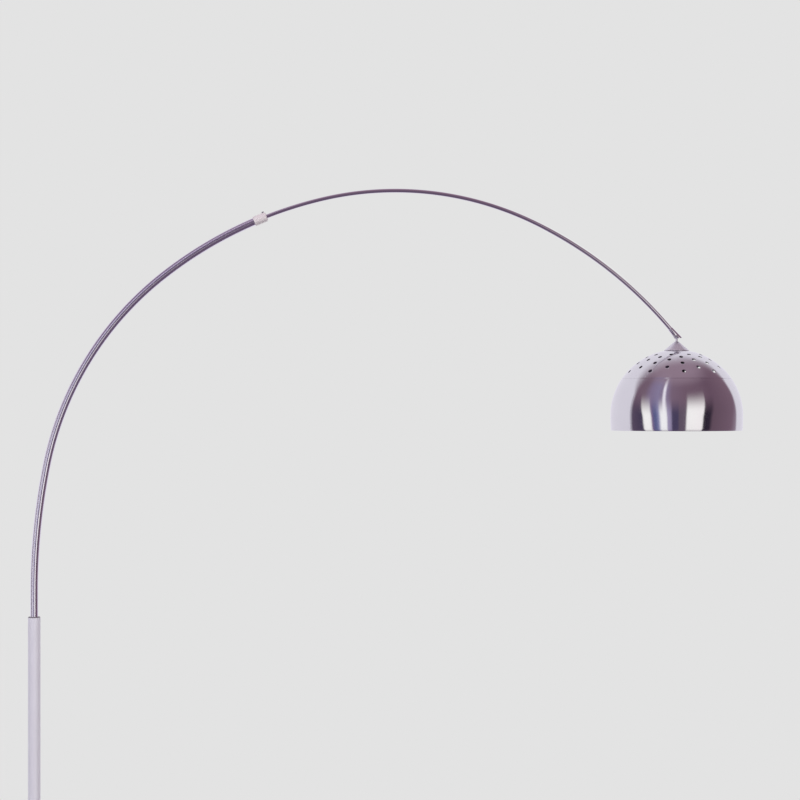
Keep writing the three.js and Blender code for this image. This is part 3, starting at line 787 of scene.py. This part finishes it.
def build_shade_fixings():
    under = SPHERE + DOME - WALL  # the crown's inner face
    washer_top = SPHERE + math.sqrt((DOME - WALL) ** 2 - 14**2) - 0.6
    turned("shade_washer", "shade", [
        (5.1, washer_top - 1.5), (14, washer_top - 1.5, 0.4), (14, washer_top, 0.3), (5.1, washer_top),
    ], place=HANG)
    nut_top = washer_top - 1.8
    hex_nut("nipple_nut", "shade", 14, 5.1, nut_top - 4, nut_top, HANG)
    low, high, wide = under - 19, -32, 4.8
    rows = [(wide, low + (high - low) * i / 90) for i in range(91)]
    threaded("nipple", "shade", [
        (2.8, low), *rows, (6.2, high), (6.2, -28.8), (2.8, -28.8),
    ], HANG, SMALL, (low + 0.2, high - 0.5, wide, 0.45, 1.0))


def build_lampholder():
    """The holder's cap and body. Returns the height of the contact that the bulb's tip meets."""
    top = SPHERE + DOME - WALL - 7.1
    cap_low = top - 18
    turned("holder_cap", "shade", [
        (17, cap_low), (19.5, cap_low, 0.5), (19.5, top - 8, 3), (17, top - 3, 3), (11, top, 1.5),
        (5.1, top, 0.4), (5.1, top - 2.5), (11, top - 2.5), (17, top - 8),
    ], place=HANG, facets=ROUND)
    body_top = cap_low - TOUCH
    grooved = []
    for i in reversed(range(4)):
        groove = body_top - 12 - i * 4.5
        grooved += [(19.5, groove - 1, 0.3), (18.7, groove - 0.6, 0.3), (18.7, groove + 0.6, 0.3)]
        grooved += [(19.5, groove + 1, 0.3)]
    turned("holder_body", "shade", [
        (15.2, body_top - 38, 0.5), (18, body_top - 38, 0.8), (19.5, body_top - 36, 1), *grooved,
        (19.5, body_top, 0.4), (15.2, body_top),
    ], place=HANG, facets=ROUND)
    return body_top - 14 - TOUCH


def build_bulb(tip):
    """The bulb's screw cap and glass. The glass is a ball whose neck curves into the cap."""
    cap_top = tip - 2.5
    cap_low = cap_top - 20
    rows = [(13.2, cap_low + 16 * i / 80) for i in range(81)]
    threaded("bulb_cap", "shade", [
        (12.6, cap_low), *rows, (11, cap_top - 2.6), (8, cap_top - 0.4), (3, cap_top), (3, cap_top - 0.8),
        (7.6, cap_top - 0.8), (12.6, cap_top - 4.6),
    ], HANG, 64, (cap_low + 0.8, cap_top - 4.2, 13.2, 1.1, 3.63))
    radius, collar, throat = 30, 13.6, 12
    turn = 38  # elevation in degrees at which the neck leaves the ball
    centre = (0, tip - 105 + radius)
    lean = math.radians(turn)
    shoulder = (radius * math.cos(lean), centre[1] + radius * math.sin(lean))
    middle = (collar, shoulder[1] + (shoulder[0] - collar) / math.tan(lean))
    end = (collar, cap_low - 2)
    neck = []
    for i in range(1, 13):
        t = i / 12
        weights = ((1 - t) ** 2, 2 * t * (1 - t), t * t)
        neck.append(tuple(sum(w * p[k] for w, p in zip(weights, (shoulder, middle, end))) for k in (0, 1)))
    outer = arc(centre, radius, -90, turn, 36) + neck
    outer += [(collar, cap_low - TOUCH, 0.3), (throat, cap_low - TOUCH), (throat, cap_low + 8)]
    inner = [(throat - 1, cap_low + 8)] + [(r - 1.6, z) for r, z in reversed(neck)]
    inner += arc(centre, radius - 1, turn, -90, 36)
    outer[0] = (0, outer[0][1])
    inner[-1] = (0, inner[-1][1])
    turned("bulb_glass", "shade", outer + inner, place=HANG, closed=False, facets=ROUND)


build_foot()
build_post()
build_arms()
build_collar()
build_end_fitting()
build_stem()
build_cone()
build_dome()
build_bowl()
build_shade_fixings()
build_bulb(build_lampholder())

# ---------------------------------------------------------------- floor


def build_floor():
    """A pale round floor, wider than the lamp, with softened edges."""
    low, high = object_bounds()
    radius, thickness, clearance = 2400, 40, 0.2
    profile = [(0, -thickness), (radius, -thickness), (radius, -clearance, 8), (0, -clearance)]
    mesh = make_mesh("floor", *lathe(soften(profile, False), 128, False))
    floor = make_object("floor", mesh, Matrix.Translation(((low.x + high.x) / 2, 0, 0)))
    material, tree, shader = new_material("floor")
    drift = noise(tree, stretched(tree, (1, 1, 1)), 1.5, 4)
    grain = noise(tree, stretched(tree, (1, 1, 1)), 180, 4, 0.6)
    connect(tree, shader, Base_Color=mix(tree, drift, linear(223, 231, 222), linear(229, 237, 228)))
    connect(tree, shader, Roughness=spread(tree, grain, 0.6, 0.75))
    floor.data.materials.append(material)
    floor.visible_glossy = False  # the chrome shows the studio's dark ground instead


build_floor()

# ---------------------------------------------------------------- studio


def smooth(tree, value, low, high):
    """0 below low, 1 above high, and a smooth step between them."""
    node = add(tree, "ShaderNodeMapRange", {0: value, 1: low, 2: high}, interpolation_type="SMOOTHSTEP")
    return node.outputs[0]


REFLECTANCE = 0.76  # of the shade's metal


def lit(*srgb):
    """A panel's light, from the display values that its reflection in the shade should have."""
    return tuple(min(c / REFLECTANCE, 1.6) for c in linear(*srgb))


# The studio's panels by azimuth in degrees, from straight in front of the lamp towards its reach.
LOW_BAND = [
    (-180, (208, 205, 215)), (-112, (150, 140, 155)), (-84, (84, 72, 92)), (-61.5, (66, 58, 80)),
    (-60, (242, 241, 239)), (-45.5, (242, 241, 239)), (-43.5, (120, 98, 134)), (-40, (88, 88, 130)),
    (-35, (94, 100, 140)), (-31, (136, 136, 172)), (-27, (240, 240, 242)), (-17, (240, 240, 242)),
    (-15.5, (160, 150, 180)), (-9, (140, 130, 160)), (-7.5, (70, 63, 90)), (3, (70, 63, 90)),
    (4, (92, 80, 96)), (16, (100, 88, 102)), (17.8, (242, 241, 239)), (46.5, (240, 236, 236)),
    (48, (38, 30, 45)), (60, (44, 36, 50)), (66, (96, 76, 90)), (112, (112, 90, 106)),
    (150, (170, 160, 175)), (180, (208, 205, 215)),
]
MID_BAND = [
    (-180, (208, 205, 215)), (-112, (150, 135, 150)), (-80, (108, 86, 102)), (-56, (112, 92, 108)),
    (-44, (126, 112, 140)), (-31, (132, 122, 152)), (-24, (128, 114, 140)), (-22, (232, 228, 238)),
    (-19, (232, 228, 238)), (-17.5, (132, 118, 146)), (-8, (118, 98, 116)), (16, (110, 88, 104)),
    (40, (106, 84, 100)), (60, (100, 78, 94)), (112, (118, 95, 110)), (150, (170, 160, 175)),
    (180, (208, 205, 215)),
]
STUDIO_TURN = math.radians(6.4)  # the panels stand square to the line from the camera to the shade


def band(tree, turn, stops):
    """The colours of a band of panels, by the share of a full turn."""
    return ramp(tree, turn, [(azimuth / 360 + 0.5, lit(*color)) for azimuth, color in stops])


def build_studio():
    """A world of soft panels in two bands, a dark ground, and a pale wall behind and above the lamp."""
    world = bpy.data.worlds.new("studio")
    bpy.context.scene.world = world
    world.use_nodes = True
    tree = world.node_tree
    tree.nodes.clear()
    direction = add(tree, "ShaderNodeTexCoord").outputs["Generated"]
    turning = {"Vector": direction, "Rotation": (0, 0, STUDIO_TURN)}
    turned_round = add(tree, "ShaderNodeMapping", turning).outputs[0]
    x, y, z = add(tree, "ShaderNodeSeparateXYZ", {0: turned_round}).outputs
    azimuth = maths(tree, "ARCTAN2", x, maths(tree, "MULTIPLY", y, -1.0))
    fanning = maths(tree, "SUBTRACT", 1.0, maths(tree, "MULTIPLY", z, 0.3))  # the panels widen with height
    leaning = maths(tree, "MULTIPLY", azimuth, fanning)
    turn = maths(tree, "ADD", maths(tree, "DIVIDE", leaning, 2 * math.pi), 0.5)
    past_start = smooth(tree, leaning, *radians(14, 18))
    past_end = smooth(tree, leaning, *radians(46, 49))
    tall = maths(tree, "SUBTRACT", past_start, past_end)  # 1 at the panel that reaches higher
    lowered = maths(tree, "SUBTRACT", z, maths(tree, "MULTIPLY", tall, 0.12))
    mid_start, mid_end, top_start, top_end = (math.sin(a) for a in radians(0, 34, 48, 78))
    rising = smooth(tree, lowered, mid_start, mid_end)
    color = mix(tree, rising, band(tree, turn, LOW_BAND), band(tree, turn, MID_BAND))
    color = mix(tree, smooth(tree, z, top_start, top_end), color, lit(140, 120, 135))
    color = mix(tree, smooth(tree, z, -0.45, -0.12), lit(92, 78, 98), color)  # the ground
    right, left = maths(tree, "MAXIMUM", x, 0.0), maths(tree, "MINIMUM", x, 0.0)
    behind = maths(tree, "SUBTRACT", y, maths(tree, "MULTIPLY", right, 0.42))
    behind = maths(tree, "SUBTRACT", behind, maths(tree, "MULTIPLY", left, 0.32))
    behind = maths(tree, "SUBTRACT", behind, spread(tree, smooth(tree, z, 0.5, 0.95), 0.18, 0.06))
    fade = spread(tree, smooth(tree, z, 0.4, 0.95), 0.14, 0.9)
    wall = smooth(tree, maths(tree, "DIVIDE", behind, fade), 0.0, 1.0)
    color = mix(tree, wall, color, lit(209, 206, 216))
    seen = add(tree, "ShaderNodeLightPath").outputs["Is Camera Ray"]
    color = mix(tree, seen, color, linear(227, 227, 227))  # the backdrop
    background = add(tree, "ShaderNodeBackground", {"Color": color, "Strength": 1.0})
    output = add(tree, "ShaderNodeOutputWorld", {"Surface": background.outputs[0]})
    output.is_active_output = True


def area_light(name, place, target, size, power):
    """A round soft lamp, in metres and watts, that lights without being reflected."""
    data = bpy.data.lights.new(name, "AREA")
    data.shape = "DISK"
    data.size = size
    data.energy = power
    light = bpy.data.objects.new(name, data)
    light.location = place
    light.rotation_euler = (Vector(target) - Vector(place)).to_track_quat("-Z", "Y").to_euler()
    light.visible_glossy = False
    bpy.context.scene.collection.objects.link(light)


build_studio()
area_light("key", place=(-1.4, -3.0, 4.2), target=(0.7, 0, 0.8), size=1.6, power=115)
area_light("fill", place=(3.6, -2.2, 3.2), target=(0.9, 0, 1.0), size=2.4, power=45)
area_light("low fill", place=(3.0, -4.2, 1.2), target=(0.3, 0, 1.4), size=1.6, power=46)
bpy.context.scene.view_settings.view_transform = "Standard"
